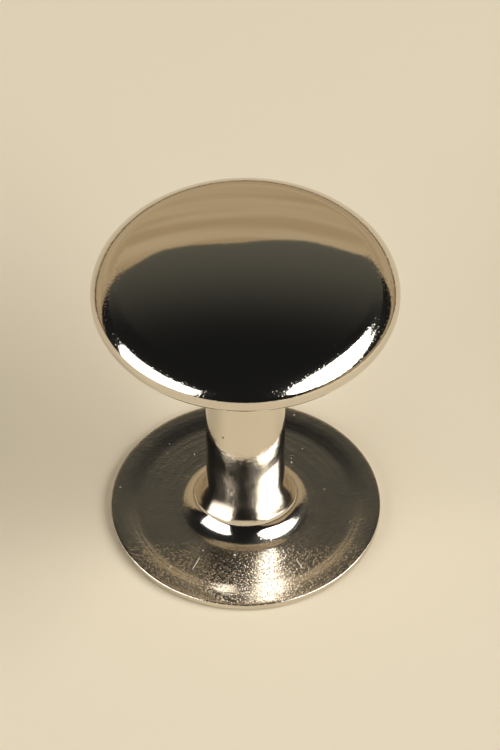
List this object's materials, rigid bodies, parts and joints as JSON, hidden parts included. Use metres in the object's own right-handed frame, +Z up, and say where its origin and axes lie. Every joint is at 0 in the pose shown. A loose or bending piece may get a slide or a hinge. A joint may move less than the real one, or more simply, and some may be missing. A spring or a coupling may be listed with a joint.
{
  "type": "hollow rivet",
  "caption": "Hollow rivet in bright nickel-plated sheet: a flanged tubular post with a snap tip, and a shallow domed cap with a curled rim pushed onto the tip.",
  "frame": {"origin": "centre of the flange's underside, in the plane that the rivet stands on", "axes": "+Z up along the shank towards the cap; the part is round about Z, and -Y faces the camera of the picture"},
  "size_m": [0.012, 0.012, 0.0141],
  "materials": {
    "post_plating": "bright nickel plating with the fine grain of drawn sheet",
    "cap_plating": "mirror-bright nickel plating",
    "socket_plating": "nickel plating, left as drawn"
  },
  "bodies": {
    "post": {"post": "post_plating"},
    "cap": {"cap_shell": "cap_plating", "cap_socket": "socket_plating"}
  },
  "joints": [
    {"name": "cap_pull", "type": "slide", "parent": "post", "child": "cap", "axis": [0, 0, 1], "range_m": [0, 0.015]}
  ]
}
